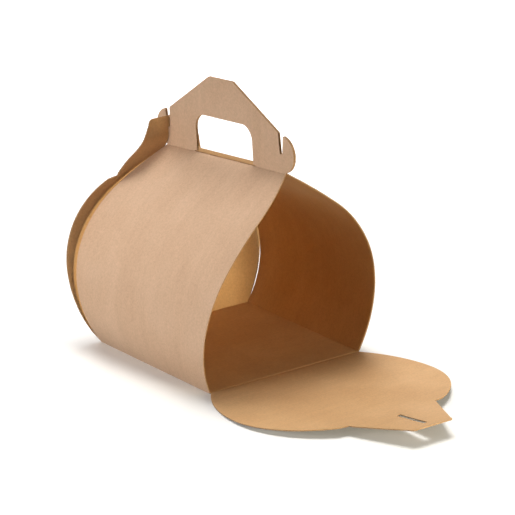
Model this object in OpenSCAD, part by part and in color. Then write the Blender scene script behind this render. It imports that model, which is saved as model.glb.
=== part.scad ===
// Carry-handle pastry box folded from one die-cut board blank.
// X runs across the open end, Y from the open end to the closed end, Z up.
// The origin is the centre of the underside of the base.

/* [Board and base] */
// Thickness of the board
board = 0.6; // [0.4:0.05:0.9]
// Width of the base across the open end
base_w = 100; // [85:1:125]
// Length of the base from the open end to the closed end
base_l = 98; // [85:1:120]

/* [Side panels] */
// Outward lean of a side panel where it leaves the base, in degrees
side_out = 32; // [24:1:38]
// Radius of the lower, rounder bulge of a side panel
lower_r = 59; // [52:1:66]
// Turn of the lower bulge, in degrees
lower_turn = 65; // [58:1:70]
// Radius of the flatter bulge above it
upper_r = 88; // [75:1:100]
// Inward slope of the flat stretch below the ridge crease, in degrees from upright
side_in = 54.4; // [48:0.2:58]
// Length of the ridge crease, measured level
ridge_l = 104; // [95:1:115]
// Bulge of the curved end edges of a side panel
end_bulge = 8; // [5:0.5:10]
// Lean of that bulge towards the ridge, 0 for an even arc
bulge_skew = 1.5; // [0.5:0.1:1.8]
// Rise of the ridge towards the open end, in degrees
ridge_tilt = 5.6; // [0:0.2:7]
// Lean of the ridge towards the closed end
ridge_back = 2.4; // [0:0.2:4]
// Extra spread of each side panel at the closed end, and its loss at the open end
end_spread = 3.5; // [0:0.25:5]
// Spread of the right-hand side panel at the closed end
far_spread = 5.2; // [0:0.2:7]
// Bulge of the upper part of the right-hand side panel at the open end
open_bulge = 2.8; // [0:0.2:4]

/* [Handle panels] */
// Clear gap between the two handle panels
handle_gap = 0.3; // [0.2:0.1:1.2]
// Height of a handle panel above the ridge crease
handle_h = 43.6; // [38:0.2:55]
// Width of the level top edge
handle_top_w = 21; // [14:1:34]
// Height of the shoulders above the ridge crease
shoulder_h = 21.6; // [21:0.2:26]
// Set-back of each shoulder from the end of the ridge crease
shoulder_in = 4.4; // [4:0.1:7]
// Rounding of the shoulders and top corners
handle_r = 0.8; // [0.3:0.1:3]

/* [Hand hole] */
// Width of the hand hole
hole_w = 49.5; // [40:0.5:58]
// Height of the hand hole above the ridge crease
hole_h = 21.6; // [18:0.2:26]
// Rounding of its top corners
hole_r = 8; // [4:0.5:10]
// Height of the lip left under the hole of the rear-side handle panel
lip_h = 2.4; // [1.5:0.1:5]
// Length of the relief nick at each lower corner of the hole
nick_l = 2; // [1:0.1:3]

/* [Hooks] */
// Radius of a hook's round outline
hook_r = 10.1; // [9:0.1:12]
// Set-back of the hook's centre from the end of the ridge crease
hook_in = 2.1; // [1:0.1:4]
// Set-back of the slot between a hook and its handle panel
slot_in = 2.75; // [2:0.05:3.5]
// Width of that slot at its bottom
slot_w = 2; // [1.4:0.1:2.4]
// Widening of the slot towards its mouth
slot_flare = 1.3; // [0:0.1:2]
// Height of the bottom of the slot above the ridge crease
slot_h = 10.4; // [9.6:0.1:12]

/* [End flaps] */
// Reach of an end flap beyond the widest part of the side panels' section
flap_over = 6; // [4:0.5:10]
// Half width of a flap at its neck
neck_half = 30; // [24:0.5:34]
// Half width of the tab at its foot, just above the neck
tab_foot_half = 28.5; // [22:0.5:30]
// Height of the tab above the neck
tab_h = 32; // [28:0.5:36]
// Half width of the tab at its top corners
tab_top_half = 14; // [10:0.5:18]
// Rounding of the tab's top corners
tab_r = 3; // [1:0.5:6]
// Length of the slit that goes over the hooks
slit_l = 22; // [20:0.5:24]
// Width of the slit
slit_w = 2.8; // [2.6:0.1:4.5]
// Height of the strip between the slit and the top edge of the tab
strip_h = 6; // [5:0.1:8]
// How far the closed flap bows out beyond the ends of the side panels
flap_bow = 2.4; // [0:0.2:5]
// Radius to which the open flap still curls up
curl_r = 850; // [600:50:3000]

/* [Clearances] */
// Gap between the closed flap and the board it rests on or hooks over
seat_gap = 0.3; // [0.2:0.05:0.6]
// Gap between the open flap and the base along their fold
fold_gap = 0.6; // [0.5:0.05:1]
// Step-in of the flap's outline at each side of the neck
neck_step = 1.2; // [0.5:0.1:3]
// Length over which the tab stands upright below the bottom of the slots
tab_upright = 3; // [2:0.5:5]

/* [Hidden] */
board_colour = "#c8a07c";
half = board / 2;
// Number of steps along a curved sheet
side_steps = 36;
flap_steps = 30;
neck_steps = 8;
corner_steps = 6;
round_fn = 96;
upper_turn = side_in - (lower_turn - side_out);
ridge_x = handle_gap / 2 + half;
ridge_half = ridge_l / 2;
ridge_end = ridge_half / cos(ridge_tilt);
// Height of a hook's centre above the ridge crease, which keeps its foot clear of the fold
hook_z = hook_r + half;
// Flap outline: a circle up to its widest point and half an ellipse above it
flap_r = base_w / 2 + lower_r * (1 - cos(side_out)) + flap_over;
flap_widest = sqrt(flap_r * flap_r - base_w * base_w / 4);
// Length over which the direction of a curved sheet is taken
slope_l = half;

// Length of an arc of radius r that turns by a degrees
function arc_l(r, a) = r * a * PI / 180;
lower_l = arc_l(lower_r, lower_turn);
upper_l = arc_l(upper_r, upper_turn);
lower_end_a = lower_turn - side_out;
// Where each bulge of the side panel's section ends, as [x, z]
lower_end = [base_w / 2 + lower_r * (cos(lower_end_a) - cos(side_out)),
             lower_r * (sin(lower_end_a) + sin(side_out))];
upper_end = lower_end + upper_r * [cos(side_in) - cos(lower_end_a),
                                   sin(side_in) - sin(lower_end_a)];
flat_l = (upper_end[0] - ridge_x) / sin(side_in);
side_l = lower_l + upper_l + flat_l;
ridge_h = upper_end[1] + flat_l * cos(side_in);

// Lean of the side panel from upright at developed length s
function side_lean(s) =
    s < lower_l ? -side_out + lower_turn * s / lower_l :
    s < lower_l + upper_l ? lower_end_a + upper_turn * (s - lower_l) / upper_l :
    side_in;
// Section of the side panel at developed length s, as [x, z]
function side_at(s) =
    let (a = side_lean(s))
    s < lower_l ? [base_w / 2 + lower_r * (cos(a) - cos(side_out)),
                   lower_r * (sin(a) + sin(side_out))] :
    s < lower_l + upper_l ? lower_end + upper_r * [cos(a) - cos(lower_end_a),
                                                   sin(a) - sin(lower_end_a)] :
    upper_end + (s - lower_l - upper_l) * [-sin(side_in), cos(side_in)];
// Half length of the side panel at the fraction t of its developed length
function side_half(t) =
    base_l / 2 + (ridge_half - base_l / 2) * t
    + 4 * end_bulge * t * (1 - t) * (1 + bulge_skew * (t - 0.5));
// Height of a point of the sides: the ridge end of the blank rises to the open end
function raised(y, z) = half + z * (1 - tan(ridge_tilt) * y / ridge_h);
// Shift of the sides towards the closed end at the fraction t of their developed length
function leaned(t) = ridge_back * t * t;
// Point of the side panel's middle surface, end is -1 at the open end and 1 at the closed end,
// spread moves the bulge of that end outwards or, at the open end, inwards, and bulge adds
// to its upper part
function side_point(t, end, spread, bulge) =
    let (p = side_at(t * side_l), y = end * side_half(t))
    [p[0] + end * spread * sin(180 * t) + bulge * sin(180 * t * t),
     y + leaned(t), raised(y, p[1])];

// Mirror a point in X, and turn a list round
function flip(p) = [-p[0], p[1], p[2]];
function backwards(v) = [for (i = [len(v) - 1:-1:0]) v[i]];
// Offset that keeps the thickness where sheets with the normals a and b meet in a fold
function fold_offset(a, b) = half * (a + b) / (1 + a * b);
// Outward direction of the side panel, level with its section
function flat_normal(t) =
    let (a = side_lean(t * side_l)) [cos(a), 0, sin(a)];

// A thick sheet ruled between two rows of points, with its half thickness as an offset each
module ruled_sheet(row_a, row_b, offsets) {
    n = len(row_a);
    points = [for (i = [0:n - 1])
        for (p = [row_a[i] + offsets[i], row_b[i] + offsets[i],
                  row_b[i] - offsets[i], row_a[i] - offsets[i]]) p];
    strips = [for (i = [0:n - 2], k = [0:3])
        let (p = 4 * i + k, q = 4 * i + (k + 1) % 4)
        for (f = [[p, q + 4, q], [p, p + 4, q + 4]]) f];
    last = 4 * (n - 1);
    ends = [[0, 1, 2], [0, 2, 3], [last, last + 2, last + 1], [last, last + 3, last + 2]];
    polyhedron(points, concat(strips, ends));
}

function unit(v) = v / norm(v);
// Arc of radius r that rounds the corner b between a and c
function fillet(a, b, c, r) =
    let (u = unit(a - b), v = unit(c - b), open = acos(u * v),
         reach = r / tan(open / 2), mid = b + unit(u + v) * r / sin(open / 2),
         p = b + u * reach, q = b + v * reach)
    [for (k = [0:corner_steps])
        let (w = unit((p - mid) * (corner_steps - k) + (q - mid) * k)) mid + r * w];
// Closed outline with each corner rounded by its own radius
function rounded(points, radii) =
    let (n = len(points))
    [for (i = [0:n - 1])
        for (p = radii[i] == 0 ? [points[i]]
             : fillet(points[(i + n - 1) % n], points[i], points[(i + 1) % n], radii[i])) p];

// Frame of the handle panels: Y along the ridge crease, Z up from it
module on_ridge() {
    translate([0, ridge_back, half + ridge_h])
        rotate([-ridge_tilt, 0, 0])
            children();
}

module handle_outline() {
    slot_y = ridge_end - slot_in - slot_w / 2;
    shoulder = ridge_end - shoulder_in;
    polygon(rounded(
        [[-ridge_end, 0], [ridge_end, 0], [ridge_end, hook_z], [slot_y, hook_z],
         [slot_y, slot_h], [shoulder, shoulder_h],
         [handle_top_w / 2, handle_h], [-handle_top_w / 2, handle_h],
         [-shoulder, shoulder_h], [-slot_y, slot_h],
         [-slot_y, hook_z], [-ridge_end, hook_z]],
        [0, 0, 0, 0, 0, handle_r, handle_r, handle_r, handle_r, 0, 0, 0]));
    for (side = [-1, 1])
        scale([side, 1])
            difference() {
                translate([ridge_end - hook_in, hook_z])
                    circle(r = hook_r, $fn = round_fn);
                polygon([[slot_y, slot_h], [slot_y + slot_w, slot_h],
                         [slot_y + slot_w + slot_flare, slot_h + hook_r],
                         [slot_y - hook_r, slot_h + hook_r], [slot_y - hook_r, slot_h]]);
            }
}

module hand_hole(low) {
    polygon(rounded(
        [[-hole_w / 2, low], [hole_w / 2, low], [hole_w / 2, hole_h], [-hole_w / 2, hole_h]],
        [low > half ? low : 0, low > half ? low : 0, hole_r, hole_r]));
}

// One upright handle panel, side is -1 for the near one and 1 for the far one
module handle_panel(side, hole_low, nicks) {
    on_ridge()
        translate([side * ridge_x - half, 0, 0])
            rotate([90, 0, 90])
                linear_extrude(board)
                    difference() {
                        handle_outline();
                        hand_hole(hole_low);
                        if (nicks)
                            translate([-hole_w / 2 - nick_l, half])
                                square([hole_w + 2 * nick_l, board]);
                    }
}

// Base, both side panels and the roots of both handle panels as one folded sheet
module folded_sheet() {
    steps = [for (i = [0:side_steps]) i / side_steps];
    up = [0, sin(ridge_tilt), cos(ridge_tilt)];
    root = 2 * board;
    function row(end, spread, bulge = 0) = concat(
        [for (t = steps) side_point(t, end, spread, bulge)],
        [side_point(1, end, spread, bulge) + root * up]);
    side_offsets = [for (i = [0:side_steps])
        i == 0 ? fold_offset([0, 0, -1], flat_normal(0)) :
        i == side_steps ? fold_offset([1, 0, 0], flat_normal(1)) :
        half * flat_normal(steps[i])];
    offsets = concat(side_offsets, [[half, 0, 0]]);
    mirrored = function(v) [for (p = backwards(v)) flip(p)];
    ruled_sheet(concat(mirrored(row(-1, end_spread)), row(-1, end_spread, open_bulge)),
                concat(mirrored(row(1, end_spread)), row(1, far_spread)),
                concat(mirrored(offsets), offsets));
}

// Path of the closed end flap's middle line, as [y, z] points, past the side panels' end edges
function end_edge(t) =
    let (y = side_half(t)) [y + leaned(t), raised(y, side_at(t * side_l)[1])];
// Outward direction across the end edge
function edge_normal(t) =
    let (d = unit(end_edge(min(1, t + 0.01)) - end_edge(max(0, t - 0.01)))) [d[1], -d[0]];
rest_off = half + seat_gap;
// Fractions of the end edge where the flap leaves it and where it has come to lie on it
leave_t = 0.97;
settle_t = 0.05;
// Stiffness of the bend from the end edge into the upright tab
bend_pull = 0.9;
function rest_point(t) =
    let (u = t / leave_t, bow = 4 * flap_bow * u * (1 - u))
    end_edge(t) + edge_normal(t) * (rest_off * min(1, t / settle_t) + bow);
// Middle of the hooks' slots in the frame of the ridge, and the same place in the model
tab_y = ridge_end - slot_in;
function from_ridge(y, z) =
    [ridge_back + y * cos(ridge_tilt) + z * sin(ridge_tilt),
     half + ridge_h - y * sin(ridge_tilt) + z * cos(ridge_tilt)];
tab_foot_h = slot_h - tab_upright;
tab_foot = from_ridge(tab_y, tab_foot_h);
leave = rest_point(leave_t);
leave_dir = unit(rest_point(leave_t) - rest_point(leave_t - 0.01));
tab_dir = [sin(ridge_tilt), cos(ridge_tilt)];
pull = bend_pull * norm(tab_foot - leave);
// Bend from the end edge into the upright tab, u runs from 0 to 1
function bend(u) =
    leave * (2 * u * u * u - 3 * u * u + 1) + pull * leave_dir * (u * u * u - 2 * u * u + u)
    + tab_foot * (3 * u * u - 2 * u * u * u) + pull * tab_dir * (u * u * u - u * u);
curved_path = concat(
    [for (i = [0:flap_steps]) rest_point(leave_t * i / flap_steps)],
    [for (i = [1:neck_steps]) bend(i / neck_steps)]);
// Length along a row of points up to each of them
function running(v, i = 0, sum = 0) =
    i == len(v) - 1 ? [sum] : concat([sum], running(v, i + 1, sum + norm(v[i + 1] - v[i])));
curved_s = running(curved_path);
foot_s = curved_s[len(curved_s) - 1];
// The strip sits on the bottom of the hooks' slots, which sets the length of a flap
flap_l = foot_s - tab_foot_h + slot_h + seat_gap + strip_h;
neck_s = flap_l - tab_h;
slit_end_s = flap_l - strip_h;
flap_upper = (neck_s - flap_widest) / sqrt(1 - pow(neck_half / flap_r, 2));

// Point and direction of the closed flap at developed length s
function path_at(s) =
    s >= foot_s ? tab_foot + (s - foot_s) * tab_dir :
    [lookup(s, [for (i = [0:len(curved_s) - 1]) [curved_s[i], curved_path[i][0]]]),
     lookup(s, [for (i = [0:len(curved_s) - 1]) [curved_s[i], curved_path[i][1]]])];
function path_dir(s) = unit(path_at(s + slope_l) - path_at(max(0, s - slope_l)));

// Half width of an end flap at developed length s
function flap_half(s) =
    s <= flap_widest ? sqrt(flap_r * flap_r - pow(flap_widest - s, 2)) :
    s <= neck_s - neck_step ? flap_r * sqrt(1 - pow((s - flap_widest) / flap_upper, 2)) :
    let (c = s - (flap_l - tab_r), slope = (tab_foot_half - tab_top_half) / (tab_h - tab_r))
    c <= 0 ? tab_foot_half - slope * max(0, s - neck_s)
           : tab_top_half - tab_r + sqrt(max(0, tab_r * tab_r - c * c));
flap_s = concat(
    [for (i = [0:flap_steps]) (neck_s - neck_step) * i / flap_steps],
    [for (i = [0:neck_steps]) neck_s + (flap_l - tab_r - neck_s) * i / neck_steps],
    [for (i = [1:corner_steps]) flap_l - tab_r + tab_r * sin(90 * i / corner_steps)]);

// Closed end flap, hooked over both handle panels
module closed_flap() {
    lap = 2 * board;
    points = [for (s = flap_s) path_at(s)];
    function row(side) = concat([[side * base_w / 2, base_l / 2 - lap, half]],
        [for (i = [0:len(flap_s) - 1]) [side * flap_half(flap_s[i]), points[i][0], points[i][1]]]);
    offsets = concat([[0, 0, -half]], [for (i = [0:len(flap_s) - 1])
        let (d = path_dir(flap_s[i]), n = [0, d[1], -d[0]])
        i == 0 ? fold_offset([0, 0, -1], n) : half * n]);
    difference() {
        ruled_sheet(row(1), row(-1), offsets);
        on_ridge()
            translate([-slit_w / 2, tab_y - slit_l / 2, slot_h + seat_gap - slit_l])
                cube([slit_w, slit_l, slit_l]);
    }
}

module carton() {
    color(board_colour)
        union() {
            folded_sheet();
            handle_panel(-1, half, true);
            handle_panel(1, lip_h, false);
            closed_flap();
        }
}

// Open end flap, laid out in front of the base
module front_flap() {
    function turn(s) = s / curl_r * 180 / PI;
    fold_y = -base_l / 2 - fold_gap;
    function row(side) = [for (s = flap_s)
        [side * flap_half(s), fold_y - curl_r * sin(turn(s)), half + curl_r * (1 - cos(turn(s)))]];
    offsets = [for (s = flap_s) half * [0, -sin(turn(s)), -cos(turn(s))]];
    color(board_colour)
        difference() {
            ruled_sheet(row(-1), row(1), offsets);
            translate([-slit_w / 2, fold_y - slit_end_s, -board])
                cube([slit_w, slit_l, slit_l]);
        }
}

carton();
front_flap();
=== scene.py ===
"""Looks of the carry box: folded kraft board, studio light and the photograph's camera."""
import math

import bmesh
import bpy
import numpy as np
from mathutils import Matrix, Vector


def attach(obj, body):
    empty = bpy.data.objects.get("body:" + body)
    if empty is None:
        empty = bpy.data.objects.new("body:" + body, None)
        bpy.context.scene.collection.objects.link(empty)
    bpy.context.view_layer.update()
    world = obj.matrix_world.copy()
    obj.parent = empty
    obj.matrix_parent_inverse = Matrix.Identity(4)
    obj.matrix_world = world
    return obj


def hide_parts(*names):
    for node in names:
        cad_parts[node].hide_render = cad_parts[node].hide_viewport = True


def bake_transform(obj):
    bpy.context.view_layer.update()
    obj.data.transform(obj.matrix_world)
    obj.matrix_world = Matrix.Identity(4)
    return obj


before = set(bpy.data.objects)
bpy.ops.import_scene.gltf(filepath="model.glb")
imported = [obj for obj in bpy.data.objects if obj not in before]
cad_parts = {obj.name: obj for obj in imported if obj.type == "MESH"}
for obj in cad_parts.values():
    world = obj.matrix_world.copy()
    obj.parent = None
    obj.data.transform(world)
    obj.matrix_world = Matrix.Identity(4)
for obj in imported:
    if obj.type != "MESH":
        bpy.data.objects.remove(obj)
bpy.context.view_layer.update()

MM = 0.001

# Board blank, in millimetres and degrees
BOARD = 0.6
HALF = BOARD / 2
BASE_W, BASE_L = 100.0, 98.0
SIDE_OUT, LOWER_R, LOWER_TURN = 32.0, 59.0, 65.0
UPPER_R, SIDE_IN = 88.0, 54.4
RIDGE_L, END_BULGE, BULGE_SKEW = 104.0, 8.0, 1.5
RIDGE_TILT, RIDGE_BACK = 5.6, 2.4
END_SPREAD, FAR_SPREAD, OPEN_BULGE = 3.5, 5.2, 2.8
HANDLE_GAP, HANDLE_H, HANDLE_TOP_W = 0.3, 43.6, 21.0
SHOULDER_H, SHOULDER_IN, HANDLE_R = 21.6, 4.4, 0.8
HOLE_W, HOLE_H, HOLE_R = 49.5, 21.6, 8.0
LIP_H, NICK_L = 2.4, 2.0
HOOK_R, HOOK_IN = 10.1, 2.1
SLOT_IN, SLOT_W, SLOT_FLARE, SLOT_H = 2.75, 2.0, 1.3, 10.4
FLAP_OVER, NECK_HALF, TAB_FOOT_HALF = 6.0, 30.0, 28.5
TAB_H, TAB_TOP_HALF, TAB_R = 32.0, 14.0, 3.0
SLIT_L, SLIT_W, STRIP_H = 22.0, 2.8, 6.0
CURL_R, FLAP_BOW = 850.0, 2.4
SEAT_GAP, FOLD_GAP = 0.3, 0.6
NECK_STEP, TAB_UPRIGHT, BEND_PULL = 1.2, 3.0, 0.9

# Steps of the drawn curves
SIDE_STEPS, BASE_STEPS, ACROSS_STEPS = 120, 40, 60
REST_STEPS, BEND_STEPS, SLOPE_STEP = 200, 60, 0.01
DISC_STEPS, SLIT_STEPS, TAB_STEPS, ROUND_STEPS, HALF_STEPS = 90, 24, 4, 10, 30
HOOK_STEPS, SMALL_STEPS, CREASE_STEPS = 48, 5, 12

# Small roundings that only the looks have
EDGE_BEVEL, EDGE_ANGLE, SMOOTH_ANGLE = 0.12, 60, 35
HANDLE_BEVEL, LIP_CORNER = 0.1, 0.98
TIP_R, SLOT_R = 0.45, 0.5
CREASE_LAP, CREASE_THINNER, CREASE_BEVEL = 0.05, 0.14, 0.02

# Board's texture: waves per metre, and shares of one
CLOUD_WAVES, GRAIN_WAVES, TOOTH_WAVES, LAYER_WAVES = 26.0, 900.0, 2600.0, 1500.0
STREAK_WAVES = (22.0, 260.0, 22.0)
FIBRE_WAVES = (150.0, 1900.0, 1900.0)
FIBRE_RUNS = (((20, 35, 10), 0.0), ((-35, 15, 65), 3.1), ((50, -30, 120), 7.7))
SPECK_TURN, SPECK_WAVES = (15, 40, 25), (380.0, 700.0, 520.0)
FIBRE_SHARE, SPECK_SHARE, SPECK_TONE = 0.22, 0.30, 0.40
BOARD_BUMP, EDGE_BUMP, BUMP_DEPTH = 0.35, 0.3, 0.0001
BLACK, WHITE = (0.0, 0.0, 0.0), (1.0, 1.0, 1.0)


def sind(a):
    return math.sin(math.radians(a))


def cosd(a):
    return math.cos(math.radians(a))


def tand(a):
    return math.tan(math.radians(a))


UPPER_TURN = SIDE_IN - (LOWER_TURN - SIDE_OUT)
RIDGE_X = HANDLE_GAP / 2 + HALF
RIDGE_HALF = RIDGE_L / 2
RIDGE_END = RIDGE_HALF / cosd(RIDGE_TILT)
FLAP_R = BASE_W / 2 + LOWER_R * (1 - cosd(SIDE_OUT)) + FLAP_OVER
FLAP_WIDEST = math.sqrt(FLAP_R**2 - BASE_W**2 / 4)
LOWER_L = LOWER_R * math.radians(LOWER_TURN)
UPPER_L = UPPER_R * math.radians(UPPER_TURN)
LOWER_END_A = LOWER_TURN - SIDE_OUT
LOWER_END = (
    BASE_W / 2 + LOWER_R * (cosd(LOWER_END_A) - cosd(SIDE_OUT)),
    LOWER_R * (sind(LOWER_END_A) + sind(SIDE_OUT)),
)
UPPER_END = (
    LOWER_END[0] + UPPER_R * (cosd(SIDE_IN) - cosd(LOWER_END_A)),
    LOWER_END[1] + UPPER_R * (sind(SIDE_IN) - sind(LOWER_END_A)),
)
FLAT_L = (UPPER_END[0] - RIDGE_X) / sind(SIDE_IN)
SIDE_L = LOWER_L + UPPER_L + FLAT_L
RIDGE_H = UPPER_END[1] + FLAT_L * cosd(SIDE_IN)


def side_at(s):
    """Section of a side panel at developed length s, as (x, z)."""
    if s < LOWER_L:
        a = -SIDE_OUT + LOWER_TURN * s / LOWER_L
        return (
            BASE_W / 2 + LOWER_R * (cosd(a) - cosd(SIDE_OUT)),
            LOWER_R * (sind(a) + sind(SIDE_OUT)),
        )
    if s < LOWER_L + UPPER_L:
        a = LOWER_END_A + UPPER_TURN * (s - LOWER_L) / UPPER_L
        return (
            LOWER_END[0] + UPPER_R * (cosd(a) - cosd(LOWER_END_A)),
            LOWER_END[1] + UPPER_R * (sind(a) - sind(LOWER_END_A)),
        )
    r = s - LOWER_L - UPPER_L
    return UPPER_END[0] - r * sind(SIDE_IN), UPPER_END[1] + r * cosd(SIDE_IN)


def side_half(t):
    """Half length of a side panel at the fraction t of its developed length."""
    return (
        BASE_L / 2
        + (RIDGE_HALF - BASE_L / 2) * t
        + 4 * END_BULGE * t * (1 - t) * (1 + BULGE_SKEW * (t - 0.5))
    )


def raised(y, z):
    """Height of a point of the section, lifted towards the open end as the ridge is."""
    return HALF + z * (1 - tand(RIDGE_TILT) * y / RIDGE_H)


def leaned(t):
    """Shift of the panels towards the closed end, growing up to the ridge."""
    return RIDGE_BACK * t * t


def side_point(t, end, side):
    """Middle surface of a side panel; side is 1 or -1 in X, end is -1 open and 1 closed."""
    x, z = side_at(t * SIDE_L)
    y = end * side_half(t)
    spread = FAR_SPREAD if side > 0 and end > 0 else END_SPREAD
    x += end * spread * sind(180 * t)
    if side > 0 and end < 0:
        x += OPEN_BULGE * sind(180 * t * t)
    return Vector((side * x, y + leaned(t), raised(y, z)))


def make_object(name, verts, faces):
    mesh = bpy.data.meshes.new(name)
    mesh.from_pydata([tuple(MM * c for c in v) for v in verts], [], faces)
    mesh.validate()
    obj = bpy.data.objects.new(name, mesh)
    bpy.context.scene.collection.objects.link(obj)
    return obj


def use(obj):
    bpy.ops.object.select_all(action="DESELECT")
    obj.select_set(True)
    bpy.context.view_layer.objects.active = obj


def bake_modifiers(obj):
    """Replace the object's mesh by its modified mesh."""
    dg = bpy.context.evaluated_depsgraph_get()
    mesh = bpy.data.meshes.new_from_object(obj.evaluated_get(dg))
    obj.modifiers.clear()
    obj.data = mesh


def thicken(obj, thick=BOARD, bevel=EDGE_BEVEL):
    """Give a middle surface the board's thickness and a softly cut edge."""
    solid = obj.modifiers.new("thickness", "SOLIDIFY")
    solid.thickness = thick * MM
    solid.offset = 0.0
    solid.use_even_offset = True
    solid.material_offset = 1
    solid.material_offset_rim = 2
    cut = obj.modifiers.new("edge", "BEVEL")
    cut.width = bevel * MM
    cut.segments = 2
    cut.limit_method = "ANGLE"
    cut.angle_limit = math.radians(EDGE_ANGLE)
    cut.harden_normals = False
    bake_modifiers(obj)


def smooth(obj):
    """Smooth shading that stops at the cut edges."""
    for p in obj.data.polygons:
        p.use_smooth = True
    use(obj)
    bpy.ops.object.shade_smooth_by_angle(angle=math.radians(SMOOTH_ANGLE))


class Nodes:
    """Short hand for building the node tree of a material or world."""

    def __init__(self, owner):
        owner.use_nodes = True
        self.owner = owner
        self.tree = owner.node_tree
        self.tree.nodes.clear()

    def add(self, kind, **sets):
        n = self.tree.nodes.new(kind)
        for key, value in sets.items():
            setattr(n, key, value)
        return n

    def put(self, socket, value):
        if isinstance(value, bpy.types.NodeSocket):
            self.tree.links.new(value, socket)
        else:
            socket.default_value = value

    def noise(self, vector, scale, detail=4.0, rough=0.55, distort=0.0):
        n = self.add("ShaderNodeTexNoise")
        self.put(n.inputs["Vector"], vector)
        n.inputs["Scale"].default_value = scale
        n.inputs["Detail"].default_value = detail
        n.inputs["Roughness"].default_value = rough
        n.inputs["Distortion"].default_value = distort
        return n.outputs["Fac"]

    def stretch(self, vector, turn, scale):
        n = self.add("ShaderNodeMapping", vector_type="POINT")
        self.put(n.inputs["Vector"], vector)
        n.inputs["Rotation"].default_value = [math.radians(a) for a in turn]
        n.inputs["Scale"].default_value = scale
        return n.outputs["Vector"]

    def ramp(self, fac, stops):
        n = self.add("ShaderNodeValToRGB")
        self.put(n.inputs["Fac"], fac)
        while len(n.color_ramp.elements) < len(stops):
            n.color_ramp.elements.new(0.5)
        for element, (place, colour) in zip(n.color_ramp.elements, stops):
            element.position = place
            element.color = (*colour, 1.0) if len(colour) == 3 else colour
        return n.outputs["Color"]

    def mix(self, fac, a, b, how="MIX"):
        n = self.add("ShaderNodeMix", data_type="RGBA", blend_type=how)
        self.put(n.inputs["Factor"], fac)
        self.put(n.inputs[6], a)
        self.put(n.inputs[7], b)
        return n.outputs[2]

    def maths(self, op, a, b=0.0, c=0.0):
        n = self.add("ShaderNodeMath", operation=op)
        for socket, value in zip(n.inputs, (a, b, c)):
            self.put(socket, value)
        return n.outputs[0]

    def map_range(self, value, source, target, how="LINEAR"):
        n = self.add("ShaderNodeMapRange", interpolation_type=how)
        self.put(n.inputs["Value"], value)
        n.inputs["From Min"].default_value, n.inputs["From Max"].default_value = source
        n.inputs["To Min"].default_value, n.inputs["To Max"].default_value = target
        return n.outputs[0]

    def bump(self, height, strength):
        n = self.add("ShaderNodeBump")
        n.inputs["Strength"].default_value = strength
        n.inputs["Distance"].default_value = BUMP_DEPTH
        self.put(n.inputs["Height"], height)
        return n.outputs["Normal"]

    def finish(self, shader, kind="ShaderNodeOutputMaterial"):
        self.put(self.add(kind).inputs["Surface"], shader)
        return self.owner


def linear(r, g, b):
    """Linear colour of an sRGB colour given from 0 to 255."""
    def one(c):
        c /= 255
        return c / 12.92 if c <= 0.04045 else ((c + 0.055) / 1.055) ** 2.4
    return one(r), one(g), one(b)


def kraft(name, base, dark, light):
    """Uncoated kraft board: even tone, short crossing fibres, fine flecks and a fine tooth."""
    m = Nodes(bpy.data.materials.new(name))
    place = m.add("ShaderNodeTexCoord").outputs["Object"]
    cloud = m.noise(place, CLOUD_WAVES, 3.0, 0.5)
    grain = m.noise(place, GRAIN_WAVES, 3.0, 0.65)
    colour = m.ramp(cloud, [(0.25, dark), (0.50, base), (0.75, light)])
    tone = m.ramp(grain, [(0.30, (0.90, 0.90, 0.895)), (0.70, (1.08, 1.08, 1.08))])
    colour = m.mix(1.0, colour, tone, "MULTIPLY")
    streak = m.noise(m.stretch(place, (0, 0, 0), STREAK_WAVES), 1.0, 4.0, 0.6, 0.4)
    run = m.ramp(streak, [(0.30, (0.965, 0.963, 0.96)), (0.70, (1.025, 1.025, 1.025))])
    colour = m.mix(1.0, colour, run, "MULTIPLY")
    threads = None
    for turn, shift in FIBRE_RUNS:
        v = m.stretch(place, turn, FIBRE_WAVES)
        moved = m.add("ShaderNodeVectorMath", operation="ADD")
        m.put(moved.inputs[0], v)
        moved.inputs[1].default_value = (shift, shift * 2, shift * 3)
        one = m.noise(moved.outputs[0], 1.0, 1.0, 0.5, 0.8)
        threads = one if threads is None else m.maths("MAXIMUM", threads, one)
    fibre = m.ramp(threads, [(0.62, BLACK), (0.74, WHITE)])
    colour = m.mix(m.maths("MULTIPLY", fibre, FIBRE_SHARE), colour, (*light, 1.0))
    specks = m.add("ShaderNodeTexVoronoi", feature="F1")
    m.put(specks.inputs["Vector"], m.stretch(place, SPECK_TURN, SPECK_WAVES))
    specks.inputs["Scale"].default_value = 1.0
    dots = m.ramp(specks.outputs["Distance"], [(0.06, WHITE), (0.20, BLACK)])
    rare = m.ramp(specks.outputs["Color"], [(0.66, BLACK), (0.76, WHITE)])
    spot = m.maths("MULTIPLY", m.maths("MULTIPLY", dots, rare), SPECK_SHARE)
    colour = m.mix(spot, colour, (*[c * SPECK_TONE for c in dark], 1.0))
    shader = m.add("ShaderNodeBsdfPrincipled")
    m.put(shader.inputs["Base Color"], colour)
    m.put(shader.inputs["Roughness"], m.maths("MULTIPLY_ADD", grain, 0.14, 0.74))
    shader.inputs["Specular IOR Level"].default_value = 0.30
    shader.inputs["Sheen Weight"].default_value = 0.06
    shader.inputs["Sheen Roughness"].default_value = 0.5
    tooth = m.noise(place, TOOTH_WAVES, 2.0, 0.6)
    relief = m.maths("ADD", m.maths("MULTIPLY", tooth, 0.6), m.maths("MULTIPLY", fibre, 0.30))
    relief = m.maths("ADD", relief, m.maths("MULTIPLY", grain, 0.8))
    m.put(shader.inputs["Normal"], m.bump(relief, BOARD_BUMP))
    return m.finish(shader.outputs["BSDF"])


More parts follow.
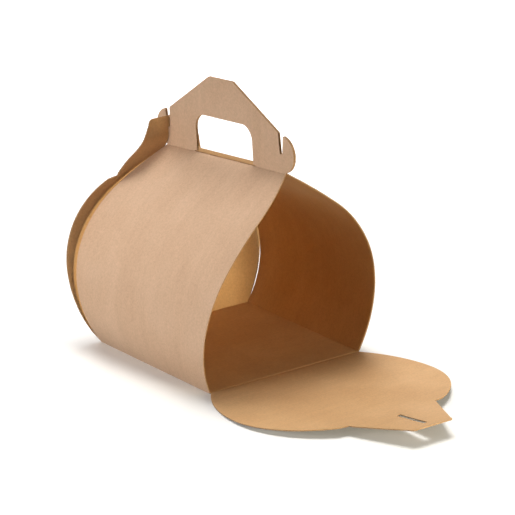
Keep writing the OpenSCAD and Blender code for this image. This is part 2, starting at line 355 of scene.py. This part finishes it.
def cut_edge(name):
    """Cut edge of the board: a shade darker than the faces, with fine layers."""
    m = Nodes(bpy.data.materials.new(name))
    place = m.add("ShaderNodeTexCoord").outputs["Object"]
    layers = m.noise(place, LAYER_WAVES, 3.0, 0.6)
    colour = m.ramp(layers, [(0.3, linear(150, 117, 86)), (0.7, linear(186, 152, 118))])
    shader = m.add("ShaderNodeBsdfPrincipled")
    m.put(shader.inputs["Base Color"], colour)
    shader.inputs["Roughness"].default_value = 0.92
    shader.inputs["Specular IOR Level"].default_value = 0.2
    m.put(shader.inputs["Normal"], m.bump(layers, EDGE_BUMP))
    return m.finish(shader.outputs["BSDF"])


OUTER = kraft("kraft_outer", linear(200, 166, 137), linear(194, 159, 130), linear(207, 174, 146))
INNER = kraft("kraft_inner", linear(203, 160, 111), linear(197, 153, 104), linear(210, 168, 120))
EDGE = cut_edge("cut_edge")


def clothe(obj, first, second):
    """Board with one finish on the side its middle surface faces, another behind, and cut edges."""
    obj.data.materials.clear()
    for mat in (first, second, EDGE):
        obj.data.materials.append(mat)


def folded_sheet():
    """One bent grid from the left ridge crease over the base to the right ridge crease."""
    steps = [i / SIDE_STEPS for i in range(SIDE_STEPS + 1)]
    columns = [(side_point(t, -1, -1), side_point(t, 1, -1)) for t in reversed(steps)]
    left, right = columns[-1], (side_point(0, -1, 1), side_point(0, 1, 1))
    for i in range(1, BASE_STEPS):
        f = i / BASE_STEPS
        columns.append((left[0].lerp(right[0], f), left[1].lerp(right[1], f)))
    columns += [(side_point(t, -1, 1), side_point(t, 1, 1)) for t in steps]
    row = ACROSS_STEPS + 1
    verts = [a.lerp(b, j / ACROSS_STEPS) for a, b in columns for j in range(row)]
    faces = [
        (i * row + j, i * row + j + 1, (i + 1) * row + j + 1, (i + 1) * row + j)
        for i in range(len(columns) - 1)
        for j in range(ACROSS_STEPS)
    ]
    obj = make_object("box_sheet", verts, faces)
    clothe(obj, OUTER, INNER)
    thicken(obj)
    smooth(obj)
    return obj


def end_edge(t):
    """Closed end edge of a side panel, as (y, z)."""
    y = side_half(t)
    return np.array([y + leaned(t), raised(y, side_at(t * SIDE_L)[1])])


def unit(v):
    return v / np.linalg.norm(v)


def edge_normal(t):
    d = unit(end_edge(min(1.0, t + SLOPE_STEP)) - end_edge(max(0.0, t - SLOPE_STEP)))
    return np.array([d[1], -d[0]])


REST_OFF = HALF + SEAT_GAP
LEAVE_T, SETTLE_T = 0.97, 0.05
TAB_Y, TAB_FOOT_H = RIDGE_END - SLOT_IN, SLOT_H - TAB_UPRIGHT


def rest_point(t):
    """Middle of the closed flap where it rests on the end edges, as (y, z)."""
    u = t / LEAVE_T
    out = REST_OFF * min(1.0, t / SETTLE_T) + 4 * FLAP_BOW * u * (1 - u)
    return end_edge(t) + edge_normal(t) * out


def from_ridge(y, z):
    """Point in the plane of the handle panels, measured along and up from the ridge."""
    return np.array([
        RIDGE_BACK + y * cosd(RIDGE_TILT) + z * sind(RIDGE_TILT),
        HALF + RIDGE_H - y * sind(RIDGE_TILT) + z * cosd(RIDGE_TILT),
    ])


TAB_FOOT = from_ridge(TAB_Y, TAB_FOOT_H)
TAB_DIR = np.array([sind(RIDGE_TILT), cosd(RIDGE_TILT)])
LEAVE = rest_point(LEAVE_T)
LEAVE_DIR = unit(rest_point(LEAVE_T) - rest_point(LEAVE_T - SLOPE_STEP))
PULL = np.linalg.norm(TAB_FOOT - LEAVE) * BEND_PULL


def bend(u):
    """Smooth bend of the closed flap from the end edges into its upright tab."""
    return (
        LEAVE * (2 * u**3 - 3 * u**2 + 1)
        + PULL * LEAVE_DIR * (u**3 - 2 * u**2 + u)
        + TAB_FOOT * (3 * u**2 - 2 * u**3)
        + PULL * TAB_DIR * (u**3 - u**2)
    )


CURVE = np.array(
    [rest_point(LEAVE_T * i / REST_STEPS) for i in range(REST_STEPS + 1)]
    + [bend(i / BEND_STEPS) for i in range(1, BEND_STEPS + 1)]
)
CURVE_S = np.concatenate([[0], np.cumsum(np.linalg.norm(np.diff(CURVE, axis=0), axis=1))])
FOOT_S = CURVE_S[-1]
FLAP_L = FOOT_S - TAB_FOOT_H + SLOT_H + SEAT_GAP + STRIP_H
NECK_S = FLAP_L - TAB_H
SLIT_END_S = FLAP_L - STRIP_H
FLAP_UPPER = (NECK_S - FLAP_WIDEST) / math.sqrt(1 - (NECK_HALF / FLAP_R) ** 2)


def closed_place(s):
    """Middle of the closed flap at developed length s, as (y, z)."""
    if s >= FOOT_S:
        return TAB_FOOT + (s - FOOT_S) * TAB_DIR
    return np.array([np.interp(s, CURVE_S, CURVE[:, 0]), np.interp(s, CURVE_S, CURVE[:, 1])])


def open_place(s):
    """Middle of the open flap at developed length s, as (y, z)."""
    a = s / CURL_R
    start = -BASE_L / 2 - FOLD_GAP
    return np.array([start - CURL_R * math.sin(a), HALF + CURL_R * (1 - math.cos(a))])


def flap_half(s):
    """Half width of either flap at developed length s."""
    if s <= FLAP_WIDEST:
        return math.sqrt(FLAP_R**2 - (FLAP_WIDEST - s) ** 2)
    if s <= NECK_S - NECK_STEP:
        return FLAP_R * math.sqrt(1 - ((s - FLAP_WIDEST) / FLAP_UPPER) ** 2)
    c = s - (FLAP_L - TAB_R)
    if c <= 0:
        slope = (TAB_FOOT_HALF - TAB_TOP_HALF) / (TAB_H - TAB_R)
        return TAB_FOOT_HALF - slope * max(0.0, s - NECK_S)
    return TAB_TOP_HALF - TAB_R + math.sqrt(max(0.0, TAB_R**2 - c * c))


def end_flap(name, place, first, second):
    """Bent grid with the flap's outline and the slit that goes over the hooks."""
    slit_start = SLIT_END_S - SLIT_L
    stations = list(np.linspace(0, NECK_S - NECK_STEP, DISC_STEPS))
    stations += [NECK_S]
    stations += list(np.linspace(NECK_S, slit_start, TAB_STEPS)[1:]) if slit_start > NECK_S else []
    stations += list(np.linspace(max(NECK_S, slit_start), SLIT_END_S, SLIT_STEPS)[1:])
    stations += list(np.linspace(SLIT_END_S, FLAP_L - TAB_R, TAB_STEPS)[1:])
    stations += [
        FLAP_L - TAB_R + TAB_R * sind(90 * i / ROUND_STEPS) for i in range(1, ROUND_STEPS + 1)
    ]
    stations = sorted(set(round(s, 6) for s in stations))
    verts, faces = [], []
    row = 2 * HALF_STEPS + 2
    mid = SLIT_W / 2
    for s in stations:
        w, (y, z) = flap_half(s), place(s)
        xs = [-w + (w - mid) * j / HALF_STEPS for j in range(HALF_STEPS + 1)]
        xs += [-x for x in reversed(xs)]
        verts += [(x, y, z) for x in xs]
    for i in range(len(stations) - 1):
        middle = (stations[i] + stations[i + 1]) / 2
        for j in range(row - 1):
            if j == HALF_STEPS and slit_start < middle < SLIT_END_S:
                continue
            faces.append((i * row + j, i * row + j + 1, (i + 1) * row + j + 1, (i + 1) * row + j))
    obj = make_object(name, verts, faces)
    clothe(obj, first, second)
    thicken(obj)
    smooth(obj)
    return obj


def fold_crease():
    """Scored strip that joins the base to the open flap."""
    near, far = -BASE_L / 2 + CREASE_LAP, -BASE_L / 2 - FOLD_GAP - CREASE_LAP
    verts = [
        (side * (BASE_W / 2 - CREASE_LAP), near + (far - near) * i / CREASE_STEPS, HALF)
        for i in range(CREASE_STEPS + 1) for side in (-1, 1)
    ]
    faces = [(2 * i, 2 * i + 2, 2 * i + 3, 2 * i + 1) for i in range(CREASE_STEPS)]
    obj = make_object("fold_crease", verts, faces)
    clothe(obj, INNER, OUTER)
    thicken(obj, BOARD - CREASE_THINNER, CREASE_BEVEL)
    smooth(obj)
    return obj


def fillet(a, b, c, r, n=ROUND_STEPS):
    """Points of the rounding of corner b between its neighbours a and c."""
    a, b, c = (np.array(p, float) for p in (a, b, c))
    u, v = unit(a - b), unit(c - b)
    opening = math.acos(float(np.clip(u @ v, -1, 1)))
    reach, mid = r / math.tan(opening / 2), b + unit(u + v) * r / math.sin(opening / 2)
    p, q = b + u * reach, b + v * reach
    return [tuple(mid + r * unit((p - mid) * (n - k) + (q - mid) * k)) for k in range(n + 1)]


def rounded(points):
    """Outline from (y, z, radius) corners."""
    out = []
    for i, (y, z, r) in enumerate(points):
        a, c = points[i - 1][:2], points[(i + 1) % len(points)][:2]
        out += fillet(a, (y, z), c, r) if r else [(y, z)]
    return out


def hook_points():
    """Lower outline from the crease's end round one hook and into the bottom of its slot."""
    mid = np.array([RIDGE_END - HOOK_IN, HOOK_R + HALF])
    start = -math.degrees(math.acos(HOOK_IN / HOOK_R))
    foot = np.array([RIDGE_END - SLOT_IN + SLOT_W / 2, SLOT_H])
    mouth = foot + np.array([SLOT_FLARE, HOOK_R])
    along, away = mouth - foot, foot - mid
    a, b, c = along @ along, 2 * along @ away, away @ away - HOOK_R**2
    tip = foot + along * (-b + math.sqrt(b * b - 4 * a * c)) / (2 * a)
    end = math.degrees(math.atan2(tip[1] - mid[1], tip[0] - mid[0]))
    arc = [mid + HOOK_R * np.array([cosd(v), sind(v)]) for v in np.linspace(start, end, HOOK_STEPS)]
    arc = [tuple(p) for p in arc[:-2]]
    tip_round = fillet(arc[-1], tuple(tip), tuple(foot), TIP_R, SMALL_STEPS)
    inner = (foot[0] - SLOT_W, SLOT_H)
    slot = fillet(tuple(tip), tuple(foot), inner, SLOT_R, SMALL_STEPS)
    slot += fillet(tuple(foot), inner, (inner[0], SLOT_H + 5), SLOT_R, SMALL_STEPS)
    return arc + tip_round + slot


def rounded_shoulder():
    """Right half of the handle's upper outline, from the slot up to the top edge."""
    shoulder = RIDGE_END - SHOULDER_IN
    corners = [
        (RIDGE_END - SLOT_IN - SLOT_W / 2, SLOT_H, 0), (shoulder, SHOULDER_H, HANDLE_R),
        (HANDLE_TOP_W / 2, HANDLE_H, HANDLE_R), (-HANDLE_TOP_W / 2, HANDLE_H, 0),
    ]
    out = []
    for i in (1, 2):
        out += fillet(corners[i - 1][:2], corners[i][:2], corners[i + 1][:2], corners[i][2])
    return out


def handle_panel(name, side, low, nicks):
    """Upright panel on the ridge; its hand hole starts at low and may have relief nicks there."""
    half = hook_points() + rounded_shoulder()
    other_half = [(-y, z) for y, z in reversed(half)]
    outline = [(RIDGE_END, 0.0)] + half + other_half + [(-RIDGE_END, 0.0)]
    corner = 0.0 if nicks else low * LIP_CORNER
    hole = rounded([
        (-HOLE_W / 2, low, corner), (HOLE_W / 2, low, corner),
        (HOLE_W / 2, HOLE_H, HOLE_R), (-HOLE_W / 2, HOLE_H, HOLE_R),
    ])
    if nicks:
        y, high = HOLE_W / 2, low + BOARD
        hole = (
            [(-y - NICK_L, low), (y + NICK_L, low), (y + NICK_L, high), (y, high)]
            + hole[2:] + [(-y, high), (-y - NICK_L, high)]
        )
    curve = bpy.data.curves.new(name, "CURVE")
    curve.dimensions = "2D"
    curve.fill_mode = "BOTH"
    curve.extrude = (HALF - HANDLE_BEVEL) * MM
    curve.bevel_depth = HANDLE_BEVEL * MM
    curve.bevel_resolution = 1
    curve.offset = -HANDLE_BEVEL * MM
    for points in (outline, hole):
        line = curve.splines.new("POLY")
        line.points.add(len(points) - 1)
        for p, (y, z) in zip(line.points, points):
            p.co = (y * MM, z * MM, 0, 1)
        line.use_cyclic_u = True
    flat = bpy.data.objects.new(name + "_flat", curve)
    bpy.context.scene.collection.objects.link(flat)
    dg = bpy.context.evaluated_depsgraph_get()
    mesh = bpy.data.meshes.new_from_object(flat.evaluated_get(dg))
    bpy.data.objects.remove(flat)
    obj = bpy.data.objects.new(name, mesh)
    bpy.context.scene.collection.objects.link(obj)
    clothe(obj, OUTER, INNER)
    for p in mesh.polygons:
        facing = p.normal.z * side
        p.material_index = 0 if facing > 0.9 else 1 if facing < -0.9 else 2
    stand = Matrix(((0, 0, 1, 0), (1, 0, 0, 0), (0, 1, 0, 0), (0, 0, 0, 1)))
    place = (
        Matrix.Translation((0, RIDGE_BACK * MM, (HALF + RIDGE_H) * MM))
        @ Matrix.Rotation(math.radians(-RIDGE_TILT), 4, "X")
        @ Matrix.Translation((side * RIDGE_X * MM, 0, 0))
    )
    mesh.transform(place @ stand)
    bm = bmesh.new()
    bm.from_mesh(mesh)
    bmesh.ops.remove_doubles(bm, verts=bm.verts, dist=1e-6)
    bmesh.ops.recalc_face_normals(bm, faces=bm.faces)
    bm.to_mesh(mesh)
    bm.free()
    smooth(obj)
    for p in mesh.polygons:
        p.use_smooth = p.material_index == 2
    return obj


sheet = folded_sheet()
near_handle = handle_panel("handle_near", -1, HALF, True)
far_handle = handle_panel("handle_far", 1, LIP_H, False)
closed_flap = end_flap("closed_flap", closed_place, INNER, OUTER)
front_flap = end_flap("front_flap_card", open_place, OUTER, INNER)
crease = fold_crease()

for piece in (sheet, near_handle, far_handle, closed_flap):
    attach(piece, "carton")
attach(front_flap, "front_flap")
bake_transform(crease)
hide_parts("carton")
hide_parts("front_flap")

# Floor, light and camera, in metres unless a name says otherwise
FLOOR_SIZE_MM, FLOOR_Z_MM = 4000.0, -0.02
FLOOR_GREY, FLOOR_SEEN = (0.22, 0.22, 0.22, 1.0), (0.93, 0.93, 0.93, 1.0)
LIFT_PLACES, LIFT_STRENGTHS = (0.10, 0.80), (0.06, 1.00)
WORLD_SIDE, WORLD_COLOUR = (0.6, 0.8, 0.0), (1.0, 0.99, 0.98, 1.0)
WORLD_PLACES, WORLD_STRENGTHS = (-0.2, 0.8), (0.01, 0.55)
CAMERA_AZ, CAMERA_EL = math.radians(-37.68), math.radians(19.55)
FOCAL_PX, ORIGIN_X_PX, ORIGIN_Y_PX, PICTURE_PX = 3995.0, 229.45, 346.88, 515
PIXEL, SENSOR_MM, CLIP_END = 0.5404 * MM, 36.0, 20.0
AREA_LIGHTS = (
    ("left", (-0.42, 0.03, 0.05), (0, 0, 0.02), 0.20, 1.67, (1.0, 0.98, 0.95)),
    ("top", (0.17, 0.18, 1.15), (0, -0.03, 0.0), 0.6, 12.0, (1.0, 0.98, 0.95)),
    ("back", (0.50, 1.00, 0.40), (0, 0, 0.05), 0.6, 5.0, (1.0, 0.99, 0.98)),
    ("front_fill", (0.06, -0.50, 0.03), (0.0, 0, 0.03), 0.12, 2.9, (1.0, 0.92, 0.66)),
)


def paper_floor():
    """Plain floor that shows white far away and keeps the object's shadow near it."""
    h, z = FLOOR_SIZE_MM / 2, FLOOR_Z_MM
    obj = make_object("floor", [(-h, -h, z), (h, -h, z), (h, h, z), (-h, h, z)], [(0, 1, 2, 3)])
    m = Nodes(bpy.data.materials.new("floor_paper"))
    seen = m.add("ShaderNodeLightPath").outputs["Is Camera Ray"]
    ground = m.add("ShaderNodeBsdfDiffuse")
    m.put(ground.inputs["Color"], m.mix(seen, FLOOR_GREY, FLOOR_SEEN))
    away = m.add("ShaderNodeVectorMath", operation="LENGTH")
    m.put(away.inputs[0], m.add("ShaderNodeTexCoord").outputs["Object"])
    far = m.map_range(away.outputs["Value"], LIFT_PLACES, LIFT_STRENGTHS, "SMOOTHSTEP")
    lift = m.add("ShaderNodeEmission")
    m.put(lift.inputs["Strength"], m.maths("MULTIPLY", seen, far))
    both = m.add("ShaderNodeAddShader")
    m.put(both.inputs[0], ground.outputs["BSDF"])
    m.put(both.inputs[1], lift.outputs["Emission"])
    obj.data.materials.append(m.finish(both.outputs["Shader"]))
    return obj


def studio_world():
    """White to the camera, a weak soft light from the right and behind to everything else."""
    w = Nodes(bpy.data.worlds.new("studio"))
    side = w.add("ShaderNodeVectorMath", operation="DOT_PRODUCT")
    w.put(side.inputs[0], w.add("ShaderNodeTexCoord").outputs["Generated"])
    side.inputs[1].default_value = WORLD_SIDE
    soft = w.add("ShaderNodeBackground")
    soft.inputs["Color"].default_value = WORLD_COLOUR
    w.put(soft.inputs["Strength"], w.map_range(side.outputs["Value"], WORLD_PLACES, WORLD_STRENGTHS))
    white = w.add("ShaderNodeBackground")
    white.inputs["Color"].default_value = (*WHITE, 1.0)
    white.inputs["Strength"].default_value = 1.0
    choose = w.add("ShaderNodeMixShader")
    w.put(choose.inputs[0], w.add("ShaderNodeLightPath").outputs["Is Camera Ray"])
    w.put(choose.inputs[1], soft.outputs[0])
    w.put(choose.inputs[2], white.outputs[0])
    return w.finish(choose.outputs[0], "ShaderNodeOutputWorld")


def area_light(name, place, target, size, power, colour):
    data = bpy.data.lights.new(name, "AREA")
    data.shape = "SQUARE"
    data.size = size
    data.energy = power
    data.color = colour
    obj = bpy.data.objects.new(name, data)
    bpy.context.scene.collection.objects.link(obj)
    obj.location = place
    obj.rotation_euler = (Vector(target) - Vector(place)).to_track_quat("-Z", "Y").to_euler()


def photo_camera():
    """Camera fitted to the photograph by its angles, focal length and the origin's pixel."""
    az, el = CAMERA_AZ, CAMERA_EL
    forward = Vector((-math.sin(az) * math.cos(el), math.cos(az) * math.cos(el), -math.sin(el)))
    right = Vector((math.cos(az), math.sin(az), 0))
    up = right.cross(forward)
    distance, middle = FOCAL_PX * PIXEL, PICTURE_PX / 2
    eye = -(
        right * ((ORIGIN_X_PX - middle) / FOCAL_PX * distance)
        + up * (-(ORIGIN_Y_PX - middle) / FOCAL_PX * distance)
        + forward * distance
    )
    data = bpy.data.cameras.new("camera")
    data.sensor_width = SENSOR_MM
    data.lens = FOCAL_PX / PICTURE_PX * SENSOR_MM
    data.clip_end = CLIP_END
    obj = bpy.data.objects.new("camera", data)
    bpy.context.scene.collection.objects.link(obj)
    obj.matrix_world = Matrix.Translation(eye) @ Matrix(
        ((right.x, up.x, -forward.x, 0), (right.y, up.y, -forward.y, 0),
         (right.z, up.z, -forward.z, 0), (0, 0, 0, 1))
    )
    return obj


floor = paper_floor()
scene = bpy.context.scene
scene.world = studio_world()
for light in AREA_LIGHTS:
    area_light(*light)
scene.camera = photo_camera()
scene.view_settings.view_transform = "Standard"
